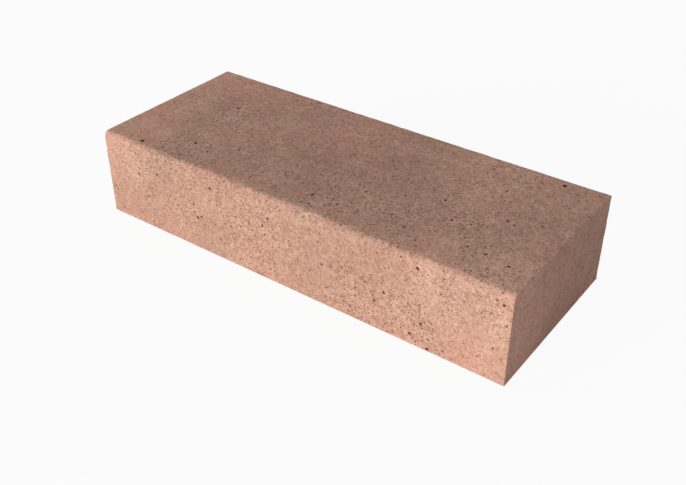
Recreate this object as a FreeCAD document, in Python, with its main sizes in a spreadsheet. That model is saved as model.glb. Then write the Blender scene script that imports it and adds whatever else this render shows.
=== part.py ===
import FreeCAD, Part
import Sketcher
import math
import os

# Concrete step block: one solid precast unit, laid with its long face forward as the riser of a garden step.
# Frame: origin at the centre of the underside, +X along the step, +Y from the riser back, +Z up. Millimetres.

PARTS_FOLDER = "parts"
SHEET_NAME = "Sizes"

# What a designer would change: the alias of each cell and its value.
DRIVING_SIZES = (
    ("block_length", 1000.0),  # along the step
    ("tread_depth", 400.0),  # from the riser to the back face
    ("rise_height", 200.0),  # from the bed to the tread
    ("nosing_radius", 12.0),  # rounding of the tread's front edge
    ("arris_radius", 1.5),  # the small rounding that the mould leaves on every other edge
)


def size_sheet(doc):
    """The spreadsheet that holds the driving sizes, one row for each."""
    sheet = doc.addObject("Spreadsheet::Sheet", SHEET_NAME)
    for row, (alias, value) in enumerate(DRIVING_SIZES, start=1):
        sheet.set(f"A{row}", alias)
        sheet.set(f"B{row}", str(value))
        sheet.setAlias(f"B{row}", alias)
    doc.recompute()
    return sheet


def origin_plane(body, role):
    """One of the body's own origin planes, found by its role."""
    return next(feature for feature in body.Origin.OriginFeatures if feature.Role == role)


def end_profile(body, sheet):
    """The outline of the block's end: a rectangle whose upper front corner is a tangent arc.

    The sketch's horizontal axis is the block's Y, and its vertical axis is Z.
    """
    sketch = body.newObject("Sketcher::SketchObject", "EndProfile")
    sketch.AttachmentSupport = (origin_plane(body, "YZ_Plane"), "")
    sketch.MapMode = "FlatFace"

    front, back = -sheet.tread_depth / 2, sheet.tread_depth / 2
    top, nosing = sheet.rise_height, sheet.nosing_radius
    corners = {
        "bed_front": FreeCAD.Vector(front, 0),
        "bed_back": FreeCAD.Vector(back, 0),
        "tread_back": FreeCAD.Vector(back, top),
        "tread_front": FreeCAD.Vector(front + nosing, top),
        "riser_top": FreeCAD.Vector(front, top - nosing),
        "nosing_centre": FreeCAD.Vector(front + nosing, top - nosing),
    }

    def line(start, end):
        return sketch.addGeometry(Part.LineSegment(corners[start], corners[end]))

    bed = line("bed_front", "bed_back")
    rear = line("bed_back", "tread_back")
    tread = line("tread_back", "tread_front")
    circle = Part.Circle(corners["nosing_centre"], FreeCAD.Vector(0, 0, 1), nosing)
    round_front = sketch.addGeometry(Part.ArcOfCircle(circle, math.pi / 2, math.pi))
    riser = line("riser_top", "bed_front")

    start_point, end_point = 1, 2
    origin = (-1, 1)
    constrain = sketch.addConstraint
    constrain(Sketcher.Constraint("Coincident", bed, end_point, rear, start_point))
    constrain(Sketcher.Constraint("Coincident", rear, end_point, tread, start_point))
    constrain(Sketcher.Constraint("Tangent", tread, end_point, round_front, start_point))
    constrain(Sketcher.Constraint("Tangent", round_front, end_point, riser, start_point))
    constrain(Sketcher.Constraint("Coincident", riser, end_point, bed, start_point))
    constrain(Sketcher.Constraint("Horizontal", bed))
    constrain(Sketcher.Constraint("Vertical", rear))
    constrain(Sketcher.Constraint("Horizontal", tread))
    constrain(Sketcher.Constraint("Vertical", riser))
    constrain(Sketcher.Constraint("Symmetric", bed, start_point, bed, end_point, *origin))
    named_sizes = (
        ("tread_depth", Sketcher.Constraint("DistanceX", bed, start_point, bed, end_point, back - front)),
        ("rise_height", Sketcher.Constraint("DistanceY", rear, start_point, rear, end_point, top)),
        ("nosing_radius", Sketcher.Constraint("Radius", round_front, nosing)),
    )
    for alias, rule in named_sizes:
        index = constrain(rule)
        sketch.renameConstraint(index, alias)
        sketch.setExpression(f"Constraints.{alias}", f"{SHEET_NAME}.{alias}")
    return sketch


def is_sharp(edge, shape):
    """Whether the two faces along an edge meet at an angle, and aren't tangent as beside the nosing."""
    middle = edge.valueAt((edge.FirstParameter + edge.LastParameter) / 2)
    normals = []
    for face in shape.ancestorsOfType(edge, Part.Face):
        u, v = face.Surface.parameter(middle)
        normals.append(face.normalAt(u, v))
    return normals[0].getAngle(normals[1]) > math.radians(1)


def step_block(doc, sheet):
    """The cast block: its end profile padded to both sides of the middle, with every sharp edge eased."""
    body = doc.addObject("PartDesign::Body", "StepBlock")
    body.Label = "step_block"

    casting = body.newObject("PartDesign::Pad", "Casting")
    casting.Profile = end_profile(body, sheet)
    casting.SideType = "Symmetric"
    casting.setExpression("Length", f"{SHEET_NAME}.block_length")
    doc.recompute()

    arrises = body.newObject("PartDesign::Fillet", "Arrises")
    edges = enumerate(casting.Shape.Edges, start=1)
    arrises.Base = (casting, [f"Edge{number}" for number, edge in edges if is_sharp(edge, casting.Shape)])
    arrises.setExpression("Radius", f"{SHEET_NAME}.arris_radius")
    body.Tip = arrises
    return body


def check(doc, bodies):
    """Stops the macro if any object failed to compute or any piece is not one closed, valid solid."""
    for item in doc.Objects:
        if {"Invalid", "Error"} & set(item.State):
            raise RuntimeError(f"{item.Name} did not compute: {item.State}")
    for body in bodies:
        if body.Shape.isNull() or not body.Shape.isValid() or len(body.Shape.Solids) != 1:
            raise RuntimeError(f"{body.Label} is not one valid solid")


def main():
    doc = FreeCAD.newDocument("StepBlock")
    sheet = size_sheet(doc)
    bodies = [step_block(doc, sheet)]
    doc.recompute()
    check(doc, bodies)

    os.makedirs(PARTS_FOLDER, exist_ok=True)
    for body in bodies:
        body.Shape.exportStep(os.path.join(PARTS_FOLDER, f"{body.Label}.step"))
        box = body.Shape.optimalBoundingBox(True, False)
        size = f"{box.XLength:.1f} x {box.YLength:.1f} x {box.ZLength:.1f} mm"
        litres = body.Shape.Volume / 1e6
        print(f"{body.Label}: {size}, {litres:.3f} litres")


main()
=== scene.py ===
import bpy
import math
import random
from mathutils import Euler, Matrix, Vector


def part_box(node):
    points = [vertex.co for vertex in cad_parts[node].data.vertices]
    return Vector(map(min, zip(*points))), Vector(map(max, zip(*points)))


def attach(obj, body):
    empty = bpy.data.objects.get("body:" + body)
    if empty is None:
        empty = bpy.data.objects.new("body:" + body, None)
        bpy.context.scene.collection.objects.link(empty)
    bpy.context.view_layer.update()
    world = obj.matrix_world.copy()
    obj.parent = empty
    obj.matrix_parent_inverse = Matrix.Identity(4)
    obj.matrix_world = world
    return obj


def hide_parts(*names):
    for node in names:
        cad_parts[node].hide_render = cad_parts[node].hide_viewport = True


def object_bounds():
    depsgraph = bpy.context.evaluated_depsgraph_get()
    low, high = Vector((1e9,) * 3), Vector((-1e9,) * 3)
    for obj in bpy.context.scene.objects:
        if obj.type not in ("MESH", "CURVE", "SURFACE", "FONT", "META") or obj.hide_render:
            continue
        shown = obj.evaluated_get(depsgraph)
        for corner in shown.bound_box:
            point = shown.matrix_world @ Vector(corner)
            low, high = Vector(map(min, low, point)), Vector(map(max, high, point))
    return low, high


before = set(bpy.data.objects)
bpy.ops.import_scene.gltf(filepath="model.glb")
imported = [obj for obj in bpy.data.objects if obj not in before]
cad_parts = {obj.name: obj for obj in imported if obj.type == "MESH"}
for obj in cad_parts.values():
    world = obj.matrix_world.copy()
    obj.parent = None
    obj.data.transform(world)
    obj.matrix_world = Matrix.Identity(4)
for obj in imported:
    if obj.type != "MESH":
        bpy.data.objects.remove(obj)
cadLow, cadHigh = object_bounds()
blockLow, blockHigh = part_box("step_block")
print("frame loaded")

# where the viewer stands, in degrees round the block and above the floor
view = {
    "azimuth": 36.32,
    "elevation": 34.12,
    "distance": 1.957,   # from the middle of the block
    "lookBelow": 0.084,  # the aim lies this far below the middle of the block, along the picture
    "lens": 48.54,
}


def makeCamera():
    a, e = math.radians(view["azimuth"]), math.radians(view["elevation"])
    back = Vector((math.sin(a) * math.cos(e), -math.cos(a) * math.cos(e), math.sin(e)))
    turn = (-back).to_track_quat("-Z", "Y")
    up = turn @ Vector((0, 1, 0))
    middle = (cadLow + cadHigh) / 2
    place = middle + back * view["distance"] - up * view["lookBelow"]
    bpy.ops.object.camera_add(location=place, rotation=turn.to_euler())
    camera = bpy.context.object
    camera.name = "viewer"
    camera.data.lens = view["lens"]
    camera.data.clip_end = 50
    bpy.context.scene.camera = camera


makeCamera()
print("camera set")


# a number on its way through a shader: sums on it add Math nodes
class Wire:
    def __init__(self, finish, socket):
        self.finish = finish
        self.socket = socket

    def maths(self, operation, first, second):
        return self.finish.node("ShaderNodeMath", {"operation": operation}, {0: first, 1: second})

    def __add__(self, other):
        return self.maths("ADD", self, other)

    def __sub__(self, other):
        return self.maths("SUBTRACT", self, other)

    def __rsub__(self, other):
        return self.maths("SUBTRACT", other, self)

    def __mul__(self, other):
        return self.maths("MULTIPLY", self, other)

    def __truediv__(self, other):
        return self.maths("DIVIDE", self, other)

    __radd__ = __add__
    __rmul__ = __mul__

    def __abs__(self):
        return self.maths("ABSOLUTE", self, 0)

    def atLeast(self, other):
        return self.maths("MAXIMUM", self, other)

    def atMost(self, other):
        return self.maths("MINIMUM", self, other)

    # 0 at start, 1 at end, eased between
    def between(self, start, end):
        sockets = {"Value": self, "From Min": start, "From Max": end}
        return self.finish.node("ShaderNodeMapRange", {"interpolation_type": "SMOOTHSTEP"}, sockets)


# the nodes of one material or of the world, built one by one
class Finish:
    def __init__(self, holder):
        self.holder = holder
        holder.use_nodes = True
        self.tree = holder.node_tree
        self.tree.nodes.clear()

    # settings first, then sockets, each given a plain value or a wire
    def node(self, kind, settings={}, sockets={}, output=0):
        made = self.tree.nodes.new(kind)
        for name, value in settings.items():
            setattr(made, name, value)
        for name, value in sockets.items():
            socket = self.find(made.inputs, name)
            if isinstance(value, Wire):
                self.tree.links.new(value.socket, socket)
            else:
                socket.default_value = value
        return Wire(self, self.find(made.outputs, output)) if made.outputs else made

    def find(self, sockets, name):
        if isinstance(name, int):
            return sockets[name]
        return next(s for s in sockets if name in (s.identifier, s.name))

    def noise(self, place, size, detail=2.0, roughness=0.5, seed=0.0):
        settings = {"noise_dimensions": "4D"}
        sockets = {"Vector": place, "W": seed, "Scale": 1 / size, "Detail": detail, "Roughness": roughness}
        return self.node("ShaderNodeTexNoise", settings, sockets, "Fac")

    def mix(self, share, first, second, blend="MIX"):
        settings = {"data_type": "RGBA", "blend_type": blend, "clamp_factor": True}
        sockets = {"Factor_Float": share, "A_Color": first, "B_Color": second}
        return self.node("ShaderNodeMix", settings, sockets, "Result_Color")

    # 1 for what the viewer sees straight on, in a reflection or through glass
    def seen(self):
        kinds = ("Camera", "Glossy", "Transmission")
        rays = [self.node("ShaderNodeLightPath", output=f"Is {kind} Ray") for kind in kinds]
        return rays[0].atLeast(rays[1]).atLeast(rays[2])


# studio: sizes in metres, levels where 1 shows a colour about as it is written
studio = {
    "floorWidth": 90.0,
    "floorDrop": 0.0002,            # how far it lies under the block
    "floorColour": (0.86, 0.86, 0.86, 1),
    "floorGlow": 0.93,              # how much of the floor that the viewer sees is plain white
    "keyLevel": 0.865,
    "keyColour": (1.0, 0.985, 0.955),
    "keyAzimuth": -24,              # degrees from straight in front, towards the left end
    "keyElevation": 9,
    "keySoftness": 18,              # how wide the light looks from the block
    "keyDistance": 4,               # sets only where its symbol stands
    "airLevel": 0.456,
    "airColour": (0.975, 0.983, 1.03),
}


def makeFloor():
    bpy.ops.object.select_all(action="DESELECT")
    height = cadLow.z - studio["floorDrop"]
    bpy.ops.mesh.primitive_plane_add(size=studio["floorWidth"], location=(0, 0, height))
    bpy.ops.object.transform_apply(location=True, rotation=False, scale=False)
    floor = bpy.context.object
    floor.name = "floor"
    paint = Finish(bpy.data.materials.new("palePaper"))
    matt = paint.node("ShaderNodeBsdfDiffuse", {}, {"Color": studio["floorColour"]})
    glow = paint.node("ShaderNodeEmission", {}, {"Color": (1, 1, 1, 1), "Strength": 1.0})
    both = paint.node("ShaderNodeMixShader", {}, {0: paint.seen() * studio["floorGlow"], 1: matt, 2: glow})
    paint.node("ShaderNodeOutputMaterial", {}, {"Surface": both})
    floor.data.materials.append(paint.holder)


def makeLight():
    a, e = math.radians(studio["keyAzimuth"]), math.radians(studio["keyElevation"])
    towards = Vector((math.sin(a) * math.cos(e), -math.cos(a) * math.cos(e), math.sin(e)))
    turn = (-towards).to_track_quat("-Z", "Y").to_euler()
    bpy.ops.object.light_add(type="SUN", location=towards * studio["keyDistance"], rotation=turn)
    key = bpy.context.object
    key.name = "key"
    key.data.energy = studio["keyLevel"] * math.pi
    key.data.color = studio["keyColour"]
    key.data.angle = math.radians(studio["keySoftness"])


def makeAir():
    world = bpy.data.worlds.new("air")
    bpy.context.scene.world = world
    paint = Finish(world)
    air = {"Color": (*studio["airColour"], 1), "Strength": studio["airLevel"]}
    soft = paint.node("ShaderNodeBackground", {}, air)
    white = paint.node("ShaderNodeBackground", {}, {"Color": (1, 1, 1, 1), "Strength": 1.0})
    both = paint.node("ShaderNodeMixShader", {}, {0: paint.seen(), 1: soft, 2: white})
    paint.node("ShaderNodeOutputWorld", {}, {"Surface": both})


bpy.context.scene.view_settings.view_transform = "Standard"
makeFloor()
makeLight()
makeAir()
print("studio set")


# the cast block, in metres
casting = {
    "nosing": 0.012,       # rounding of the tread's front edge, as on the frame
    "nosingSegments": 10,
    "arris": 0.0015,       # rounding of the other edges, as on the frame
    "arrisSegments": 3,
    "cell": 0.0055,        # spacing of the cuts that the relief needs
    "margin": 0.004,       # from the outermost cuts to the faces
    "same": 1e-5,          # points nearer than this share a plane
    "swell": 0.0007,       # depth of the broad unevenness of the cast faces
    "swellWidth": 0.09,
    "ripple": 0.0005,      # depth of the finer unevenness
    "rippleWidth": 0.022,
    "wear": 0.0009,        # how deep the arrises are rubbed away at their most worn
    "wearWidth": 0.03,
    "dent": 0.0018,        # how far the nosing wavers
    "dentWidth": 0.032,
    # every arris by its place in x, y and z: 0 at the low side, 1 at the high side, None along it
    "arrisLines": [
        (None, 0, 1), (None, 1, 1), (1, None, 1), (0, None, 1), (1, 0, None), (0, 0, None), (1, 1, None),
        (0, 1, None), (None, 0, 0), (1, None, 0), (0, None, 0), (None, 1, 0),
    ],
}

# Holes that air bubbles and loosened grit left. Places are shares of a face: along it from the left end
# (from the riser, on an end), then up it or back from the riser. Widths and spreads are in metres.
pits = {
    # the few that catch the eye: (along, up or back, width)
    "widest": {
        "riser": [(0.31, 0.82, 0.007), (0.81, 0.88, 0.008), (0.8, 0.12, 0.007), (0.84, 0.03, 0.006)],
        "tread": [
            (0.91, 0.95, 0.011), (0.1, 0.05, 0.01), (0.53, 0.15, 0.008), (0.16, 0.65, 0.008),
            (0.2, 0.2, 0.008), (0.9, 0.2, 0.007), (0.95, 0.18, 0.007), (0.88, 0.5, 0.007),
        ],
    },
    # how many more lie on each face
    "wide": {"riser": 32, "tread": 62, "back": 45, "bed": 50, "leftEnd": 14},
    "wideRange": (0.0036, 0.0066),
    "small": 1200,         # how many small ones lie on the faces, by these shares
    "shares": {"riser": 30, "tread": 34, "back": 16, "bed": 8, "leftEnd": 6, "rightEnd": 3},
    "smallRange": (0.0014, 0.0042),
    "clustered": 0.55,     # share of a face's holes that lie in its coarse parts: (along, up or back, spread)
    "coarse": {
        "riser": [
            (0.09, 0.75, 0.04), (0.24, 0.4, 0.03), (0.42, 0.55, 0.07), (0.68, 0.2, 0.045), (0.8, 0.3, 0.05),
            (0.85, 0.8, 0.035), (0.96, 0.75, 0.03),
        ],
        "tread": [
            (0.93, 0.12, 0.045), (0.83, 0.38, 0.05), (0.7, 0.22, 0.05), (0.56, 0.12, 0.04), (0.2, 0.6, 0.05),
            (0.2, 0.12, 0.05), (0.8, 0.82, 0.06),
        ],
        "back": [(0.3, 0.6, 0.06), (0.76, 0.35, 0.06)],
    },
    "fineFrom": 0.0038,    # a wider hole is cut with the finer lump
    "chips": 90,           # nicks along the arrises
    "chipRange": (0.002, 0.0055),
    "seed": 7,
}


def startOn(thing):
    bpy.ops.object.select_all(action="DESELECT")
    thing.select_set(True)
    bpy.context.view_layer.objects.active = thing


def makeBody():
    size = blockHigh - blockLow
    bpy.ops.object.select_all(action="DESELECT")
    bpy.ops.mesh.primitive_cube_add(size=1, location=(blockLow + blockHigh) / 2, scale=size)
    bpy.ops.object.transform_apply(location=True, rotation=True, scale=True)
    body = bpy.context.object
    body.name = "castBlock"
    pickNosing(body)
    bevelPicked(casting["nosing"], casting["nosingSegments"])
    pickSharp()
    bevelPicked(casting["arris"], casting["arrisSegments"])
    for axis in range(3):
        cutAcross(body, axis, size[axis])
    return body


def pickNothing(kind):
    bpy.ops.object.mode_set(mode="EDIT")
    bpy.ops.mesh.select_mode(type=kind)
    bpy.ops.mesh.select_all(action="DESELECT")


# the edge where the tread and the riser would meet
def pickNosing(body):
    pickNothing("EDGE")
    bpy.ops.object.mode_set(mode="OBJECT")
    points, near = body.data.vertices, casting["same"]
    for edge in body.data.edges:
        ends = [points[v].co for v in edge.vertices]
        edge.select = all(abs(p.y - blockLow.y) < near and abs(p.z - blockHigh.z) < near for p in ends)


def pickSharp():
    pickNothing("EDGE")
    bpy.ops.mesh.edges_select_sharp(sharpness=math.radians(40))


def bevelPicked(width, segments):
    bpy.ops.object.mode_set(mode="EDIT")
    bpy.ops.mesh.bevel(offset=width, segments=segments, profile=0.5, affect="EDGES")
    bpy.ops.object.mode_set(mode="OBJECT")


# even cuts square to one axis, from just inside one face to just inside the other
def cutAcross(body, axis, length):
    normal = Vector((0, 0, 0))
    normal[axis] = 1
    middle = (blockLow + blockHigh) / 2
    inner = length / 2 - casting["margin"]
    count = round(2 * inner / casting["cell"])
    places = [-inner + 2 * inner * i / count for i in range(count + 1)]
    bpy.ops.object.mode_set(mode="EDIT")
    for place in places:
        bpy.ops.mesh.select_all(action="SELECT")
        bpy.ops.mesh.bisect(plane_co=middle + normal * place, plane_no=normal, threshold=1e-6)
    bpy.ops.object.mode_set(mode="OBJECT")


# how near a point is to the closest arris or to the nosing, with 0 on it
def toArris(point):
    gaps = sorted(min(abs(point[i] - blockLow[i]), abs(point[i] - blockHigh[i])) for i in range(3))
    return gaps[1]


# how far a point is from the middle line of the nosing's curve
def toNosing(point):
    return math.hypot(point.y - blockLow.y, point.z - blockHigh.z) - casting["nosing"] * 0.41


# a distance as a share of the whole, kept from 0 to 1
def share(distance, whole):
    return min(1, max(0, distance / whole))


def weightGroup(body, name, weightAt):
    group = body.vertex_groups.new(name=name)
    for point in body.data.vertices:
        group.add([point.index], weightAt(point.co), "REPLACE")


# pushes the surface inwards only, by a cloud pattern
def sink(body, name, depth, width, group, contrast=1.0, brightness=1.0, layers=2):
    clouds = bpy.data.textures.new(name, "CLOUDS")
    clouds.noise_scale = width
    clouds.noise_depth = layers
    clouds.contrast = contrast
    clouds.intensity = brightness
    bpy.ops.object.modifier_add(type="DISPLACE")
    push = body.modifiers[-1]
    push.texture = clouds
    push.texture_coords = "LOCAL"
    push.direction = "NORMAL"
    push.strength = depth
    push.mid_level = 1.0
    push.vertex_group = group
    bpy.ops.object.modifier_apply(modifier=push.name)


def roughenBody(body):
    startOn(body)
    # each fades out before the bed, which stays flat
    weightGroup(body, "faces", lambda p: share(p.z - blockLow.z - 0.001, 0.01))
    weightGroup(body, "arrises", lambda p: (1 - share(toArris(p), 0.007)) * share(p.z - blockLow.z, 0.006))
    sink(body, "swell", casting["swell"], casting["swellWidth"], "faces")
    sink(body, "ripple", casting["ripple"], casting["rippleWidth"], "faces")
    weightGroup(body, "nosing", lambda p: 1 - share(abs(toNosing(p)), 0.014))
    sink(body, "dent", casting["dent"], casting["dentWidth"], "nosing", contrast=1.4, layers=3)
    worn = {"contrast": 2.2, "brightness": 1.35, "layers": 4}
    sink(body, "wear", casting["wear"], casting["wearWidth"], "arrises", **worn)
    # a bright cloud pushes a little outwards, so whatever left the block goes back to its faces
    for point in body.data.vertices:
        point.co = [min(max(point.co[i], blockLow[i]), blockHigh[i]) for i in range(3)]


# joins the flat underside into one face again
def mergeBed(body):
    startOn(body)
    pickNothing("FACE")
    bpy.ops.object.mode_set(mode="OBJECT")
    for face in body.data.polygons:
        face.select = face.normal.z < -0.9999 and face.center.z < blockLow.z + casting["same"]
    bpy.ops.object.mode_set(mode="EDIT")
    bpy.ops.mesh.dissolve_faces()
    bpy.ops.object.mode_set(mode="OBJECT")


# each face: its corner at the left and the bottom or front, its two sides from there, and the way out of it
def faceFrames():
    low, high = blockLow, blockHigh
    size = high - low
    x, y, z = Vector((size.x, 0, 0)), Vector((0, size.y, 0)), Vector((0, 0, size.z))
    return {
        "riser": (Vector(low), x, z, -y.normalized()),
        "tread": (Vector((low.x, low.y, high.z)), x, y, z.normalized()),
        "back": (Vector((low.x, high.y, low.z)), x, z, y.normalized()),
        "bed": (Vector(low), x, y, -z.normalized()),
        "leftEnd": (Vector(low), y, z, -x.normalized()),
        "rightEnd": (Vector((high.x, low.y, low.z)), y, z, x.normalized()),
    }


# a lump that holes are turned and stretched copies of
def makeLump(name, rounds, seed):
    bpy.ops.object.select_all(action="DESELECT")
    bpy.ops.mesh.primitive_ico_sphere_add(subdivisions=rounds, radius=1)
    lump = bpy.context.object
    lump.name = name
    bpy.ops.object.mode_set(mode="EDIT")
    bpy.ops.transform.vertex_random(offset=0.16, seed=seed)
    bpy.ops.object.mode_set(mode="OBJECT")
    return lump


# a hole's middle is a little outside the face, so that its mouth is its widest place
def placePit(rng, lump, centre, outward, width, depth):
    pit = lump.copy()
    pit.data = lump.data.copy()
    bpy.context.collection.objects.link(pit)
    spin = Euler([rng.uniform(0, math.tau) for _ in range(3)]).to_matrix().to_4x4()
    stretch = rng.uniform(0.8, 1.25)
    squash = Matrix.Diagonal((width / 2 * stretch, width / 2 / stretch, depth, 1))
    onFace = outward.to_track_quat("Z", "Y").to_matrix().to_4x4()
    turn = Matrix.Rotation(rng.uniform(0, math.tau), 4, "Z")
    pit.data.transform(Matrix.Translation(centre + outward * depth * 0.1) @ onFace @ turn @ squash @ spin)
    return pit


# a random spot on a face, often in one of the parts where the mix is coarse
def scatterSpot(rng, face):
    corner, along, up, outward = faceFrames()[face]
    groups = pits["coarse"].get(face, [])
    while True:
        if groups and rng.random() < pits["clustered"]:
            across, rise, spread = rng.choice(groups)
            drift = along.normalized() * rng.gauss(0, spread) + up.normalized() * rng.gauss(0, spread)
            spot = corner + along * across + up * rise + drift
        else:
            spot = corner + along * rng.random() + up * rng.random()
        if inside(spot):
            return spot


def placePits():
    rng = random.Random(pits["seed"])
    frames = faceFrames()
    plain, fine = makeLump("plainLump", 1, 3), makeLump("fineLump", 2, 5)
    made, taken = [], []

    # one more hole, unless it would run into another
    def dig(centre, outward, width, depth):
        if any((centre - other).length < (width + wide) * 0.75 for other, wide in taken):
            return
        taken.append((centre, width))
        made.append(placePit(rng, fine if width > pits["fineFrom"] else plain, centre, outward, width, depth))

    for face, spots in pits["widest"].items():
        corner, along, up, outward = frames[face]
        for across, rise, width in spots:
            spot = onSurface(corner + along * across + up * rise)
            dig(spot, outward, width, width * rng.uniform(0.45, 0.7))
    for face, count in pits["wide"].items():
        for number in range(count):
            width = rng.uniform(*pits["wideRange"])
            dig(onSurface(scatterSpot(rng, face)), frames[face][3], width, width * rng.uniform(0.45, 0.7))
    enough = len(made) + pits["small"]
    least, most = pits["smallRange"]
    while len(made) < enough:
        face = rng.choices(list(pits["shares"]), pits["shares"].values())[0]
        width = least + (most - least) * rng.random() ** 2.6
        dig(onSurface(scatterSpot(rng, face)), frames[face][3], width, width * rng.uniform(0.5, 0.8))
    for number in range(pits["chips"]):
        centre, outward = arrisSpot(rng)
        width = rng.uniform(*pits["chipRange"])
        dig(centre + outward * width * 0.12, outward, width * 1.6, width * 0.5)
    bpy.data.objects.remove(plain)
    bpy.data.objects.remove(fine)
    return made


def inside(spot):
    return all(blockLow[i] - 1e-6 <= spot[i] <= blockHigh[i] + 1e-6 for i in range(3))


# a spot near the nosing moves down onto its curve
def onSurface(spot):
    nosing = casting["nosing"]
    middle = Vector((spot.x, blockLow.y + nosing, blockHigh.z - nosing))
    away = spot - middle
    if away.y < 0 and away.z > 0:
        return middle + away.normalized() * nosing
    return spot


# a random spot on one of the arrises, and the way out of it
def arrisSpot(rng):
    size = blockHigh - blockLow
    way = rng.random()
    edge = rng.choice(casting["arrisLines"])
    spot = blockLow + Vector([size[i] * (way if part is None else part) for i, part in enumerate(edge)])
    outward = Vector([0 if part is None else 2 * part - 1 for part in edge]).normalized()
    return onSurface(spot), outward


# takes the joined lumps out of the body
def digPits(body):
    lumps = placePits()
    bpy.ops.object.select_all(action="DESELECT")
    for lump in lumps:
        lump.select_set(True)
    bpy.context.view_layer.objects.active = lumps[0]
    bpy.ops.object.join()
    tool = bpy.context.object
    outside, wall = bpy.data.materials.new("outside"), bpy.data.materials.new("holeWall")
    body.data.materials.append(outside)
    tool.data.materials.append(wall)
    startOn(body)
    bpy.ops.object.modifier_add(type="BOOLEAN")
    cut = body.modifiers[-1]
    cut.operation = "DIFFERENCE"
    cut.solver = "MANIFOLD"
    cut.material_mode = "TRANSFER"
    cut.object = tool
    bpy.ops.object.modifier_apply(modifier=cut.name)
    bpy.data.objects.remove(tool)
    # the walls of the holes are kept as an attribute, which the concrete uses for painted shade in them, and
    # both materials go
    holes = body.data.attributes.new("hole", "FLOAT", "FACE")
    slots = [slot.material for slot in body.material_slots]
    for face in body.data.polygons:
        holes.data[face.index].value = float(slots[face.material_index] == wall)
        face.material_index = 0
    body.data.materials.clear()
    bpy.data.materials.remove(outside)
    bpy.data.materials.remove(wall)


# where each face lies on a square sheet, in metres: its lower left corner, with the ends turned upright
unfolded = {
    "width": 1.26,
    "tread": (0.01, 0.01), "bed": (0.01, 0.42), "riser": (0.01, 0.83), "back": (0.01, 1.04),
    "leftEnd": (1.02, 0.01), "rightEnd": (1.02, 0.42),
}


# lays each face flat on the sheet at one scale, so that the pattern is as sharp all over
def unwrap(body):
    sheet = body.data.uv_layers.new(name="OFBake")
    frames = faceFrames()
    for face in body.data.polygons:
        name = min(frames, key=lambda n: abs((face.center - frames[n][0]).dot(frames[n][3])))
        low, along, up, outward = frames[name]
        for corner in face.loop_indices:
            spot = body.data.vertices[body.data.loops[corner].vertex_index].co - low
            u, v = spot.dot(along.normalized()), spot.dot(up.normalized())
            if name.endswith("End"):
                u, v = v, u
            left, bottom = unfolded[name]
            sheet.data[corner].uv = ((left + u) / unfolded["width"], (bottom + v) / unfolded["width"])


body = makeBody()
print("body cast:", len(body.data.polygons), "faces")
roughenBody(body)
mergeBed(body)
digPits(body)
unwrap(body)
startOn(body)
bpy.ops.object.shade_smooth_by_angle(angle=math.radians(38))
triangles = sum(len(face.vertices) - 2 for face in body.data.polygons)
print("holes dug:", triangles, "triangles")


# the coloured concrete: colours as the light reflected, from 0 to 1, and sizes in metres
concrete = {
    "mortar": (0.510, 0.295, 0.214, 1),
    "pink": (0.520, 0.288, 0.213, 1),
    "sandy": (0.545, 0.335, 0.243, 1),
    "grey": (0.455, 0.280, 0.213, 1),
    "holeShade": (0.128, 0.036, 0.012, 1),
    "pinholeShade": (0.18, 0.084, 0.052, 1),
    "chalk": (0.69, 0.46, 0.365, 1),
    "cloud": 0.16,         # width of each pattern, from the broadest
    "shade": 0.11,
    "patch": 0.05,
    "mottle": 0.011,
    "grain": 0.0046,
    "sand": 0.0016,
    "granule": 0.0034,     # sand grains that show one by one
    "speck": 0.0058,       # spacing of the small dark specks
    "fleck": 0.013,        # spacing of the larger ones
    "pebble": 0.0085,      # spacing of the pale grit
    "endFinish": 0.75,     # how strong the patterns are on the ends, against 1 elsewhere
    "bump": 0.7,
    "bumpDepth": 0.0026,
    "roughness": 0.82,
    "gloss": 0.12,
    # paler and duller parts, placed as the coarse ones are. On the right end they are painted light along the
    # strip by the riser and low by the front, and painted shade low down and towards the back
    "pale": {
        "riser": [(0.88, 0.78, 0.055), (0.96, 0.6, 0.04)],
        "tread": [(0.02, 0.15, 0.08), (0.03, 0.5, 0.06), (0.03, 0.82, 0.06), (0.95, 0.12, 0.045)],
        "rightEnd": [(0.01, 0.82, 0.062), (0.02, 0.5, 0.062), (0.05, 0.15, 0.075)],
    },
    "dull": {
        "rightEnd": [(0.82, 0.2, 0.07), (0.5, 0.05, 0.05)],
        "tread": [(0.48, 0.62, 0.11)],
    },
}


# how deep a point lies under the clean faces of the block, how near it is to an arris and to an end,
# and 1 if it is on the tread
def depths(paint, place):
    x, y, z = (paint.node("ShaderNodeSeparateXYZ", {}, {"Vector": place}, axis) for axis in "XYZ")
    low, high, nosing = blockLow, blockHigh, casting["nosing"]
    ends = (high.x - low.x) / 2 - abs(x - (high.x + low.x) / 2)
    before = low.y + nosing - y
    above = z - (high.z - nosing)
    outX, outZ = before.atLeast(0), above.atLeast(0)
    around = paint.node("ShaderNodeMath", {"operation": "SQRT"}, {0: outX * outX + outZ * outZ})
    front = nosing - around - before.atLeast(above).atMost(0)
    back, bed = high.y - y, z - low.z
    depth = ends.atMost(front).atMost(back).atMost(bed)
    sides, heights = back.atMost(y - low.y), bed.atMost(high.z - z)
    arris = ends.atLeast(sides).atMost(ends.atLeast(heights)).atMost(sides.atLeast(heights))
    walked = z.between(high.z - 0.006, high.z - 0.002)
    return depth, arris, ends, walked


# 1 in the named parts of the faces, 0 well outside them
def parts(paint, place, named):
    frames = faceFrames()
    whole = 0
    for face, spots in named.items():
        corner, along, up, outward = frames[face]
        for across, rise, spread in spots:
            middle = corner + along * across + up * rise
            ends = {0: place, 1: middle}
            away = paint.node("ShaderNodeVectorMath", {"operation": "DISTANCE"}, ends, "Value")
            whole = (1 - away.between(spread * 0.6, spread * 2.1)).atLeast(whole)
    return whole
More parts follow.
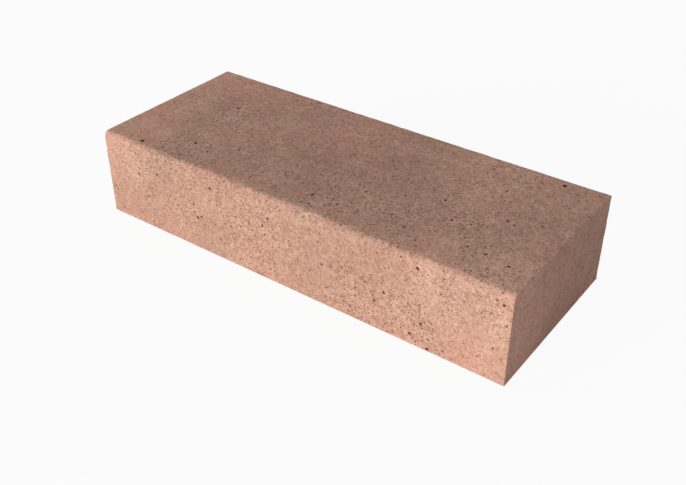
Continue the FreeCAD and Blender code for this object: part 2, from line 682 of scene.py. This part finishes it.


# round specks: a share of the cells hold one, and their sizes differ. They give the pale grit, and the dark
# dots of painted shade for holes too small to cut
def specks(paint, place, spacing, share, small, large):
    cells = {"Vector": place, "Scale": 1 / spacing, "Randomness": 1.0}
    near = paint.node("ShaderNodeTexVoronoi", {}, cells, "Distance")
    draw = paint.node("ShaderNodeTexVoronoi", {}, cells, "Color")
    luck = paint.node("ShaderNodeSeparateColor", {}, {"Color": draw}, "Red")
    width = paint.node("ShaderNodeSeparateColor", {}, {"Color": draw}, "Green") * (large - small) + small
    drawn = paint.node("ShaderNodeMath", {"operation": "LESS_THAN"}, {0: luck, 1: share})
    return (1 - (near / width).between(0.55, 1.1)) * drawn


def makeConcrete():
    paint = Finish(bpy.data.materials.new("concrete"))
    place = paint.node("ShaderNodeTexCoord", output="Object")
    depth, arris, ends, walked = depths(paint, place)
    coarse = parts(paint, place, pits["coarse"])
    pale = parts(paint, place, concrete["pale"])
    dull = parts(paint, place, concrete["dull"])
    clouds = paint.noise(place, concrete["cloud"], 2, 0.5, 1.0)
    patches = paint.noise(place, concrete["patch"], 3, 0.6, 2.0)
    mottle = paint.noise(place, concrete["mottle"], 3, 0.6, 3.0)
    grain = paint.noise(place, concrete["grain"], 3, 0.7, 4.0)
    sand = paint.noise(place, concrete["sand"], 2, 0.6, 5.0)
    cells = {"Vector": place, "Scale": 1 / concrete["granule"]}
    draw = paint.node("ShaderNodeTexVoronoi", {}, cells, "Color")
    granule = paint.node("ShaderNodeSeparateColor", {}, {"Color": draw}, "Red")

    colour = paint.mix(clouds.between(0.35, 0.65), concrete["mortar"], concrete["pink"])
    colour = paint.mix((patches.between(0.45, 0.75) + coarse * 0.35) * 0.7, colour, concrete["sandy"])
    shade = paint.noise(place, concrete["shade"], 3, 0.6, 6.0).between(0.5, 0.75) * 0.6
    colour = paint.mix(shade, colour, concrete["grey"])

    # the ends were cast against a smoother wall of the mould, and the tread is the roughest
    faced = ends.between(0.0005, 0.004)
    rough = faced * (1 - concrete["endFinish"]) + concrete["endFinish"]
    fine = (mottle - 0.5) * (walked * 0.1 + 0.55) + (grain - 0.5) * 1.2 + (sand - 0.5) * 0.66
    fine = (fine + (granule - 0.5) * (0.3 + coarse * 0.2)) * rough
    broad = (clouds - 0.5) * (walked * 0.1 + 0.3) + (patches - 0.5) * (walked * 0.14 + 0.17)
    rubbed = (1 - arris.between(0.0008, 0.0045)) * patches.between(0.42, 0.62)
    # the pale and dull parts lighten and darken the colour; on the right end this is painted light and
    # painted shade
    light = 1 + broad + pale * 0.16 - dull * 0.05 + rubbed * 0.08 + fine * 0.4
    # the pale grains are greyer than the paste round them
    greyed = {0: colour, 1: light, 2: fine * 0.22}
    colour = paint.node("ShaderNodeVectorMath", {"operation": "MULTIPLY_ADD"}, greyed)

    # the share of cells that hold a speck, then the least and the greatest width against the spacing
    smallShare = rough * (0.145 + coarse * 0.3 + walked * 0.03)
    largeShare = (faced * 0.35 + 0.05) * (0.36 + coarse * 0.72 + walked * 0.5)
    gritShare = rough * (0.05 + coarse * 0.32 + pale * 0.2)
    # small and large are dark dots of painted shade for holes too small to cut, with a dip in the bump; grit
    # is the pale grains
    small = specks(paint, place, concrete["speck"], smallShare, 0.16, 0.38)
    large = specks(paint, place, concrete["fleck"], largeShare, 0.1, 0.21)
    grit = specks(paint, place, concrete["pebble"], gritShare, 0.12, 0.36)
    colour = paint.mix((grit * 0.75).atLeast(rubbed * 0.2), colour, concrete["chalk"])
    # painted shade of the holes too small to cut: the small ones browner, the larger ones darker
    colour = paint.mix(small * 0.75, colour, concrete["pinholeShade"])
    colour = paint.mix(large * 0.8, colour, concrete["holeShade"])
    # painted shade in the dug holes: their walls turn dark, more so the deeper they lie
    hole = paint.node("ShaderNodeAttribute", {"attribute_name": "hole"}, {}, "Fac")
    colour = paint.mix(hole * (depth.between(0.0003, 0.0022) * 0.65 + 0.28), colour, concrete["holeShade"])

    relief = mottle * 0.5 + grain * 0.7 + sand * 0.35 + granule * 0.12 - small * 0.5 - large
    raised = {"Strength": concrete["bump"], "Distance": concrete["bumpDepth"], "Height": relief * rough}
    bump = paint.node("ShaderNodeBump", {}, raised)
    skin = paint.node("ShaderNodeBsdfPrincipled", {}, {
        "Base Color": colour, "Roughness": concrete["roughness"] + (grain - 0.5) * 0.2,
        "Specular IOR Level": concrete["gloss"], "Normal": bump,
    })
    paint.node("ShaderNodeOutputMaterial", {}, {"Surface": skin})
    return paint.holder


body.data.materials.clear()
body.data.materials.append(makeConcrete())
print("concrete mixed")

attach(body, "root")
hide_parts("step_block")
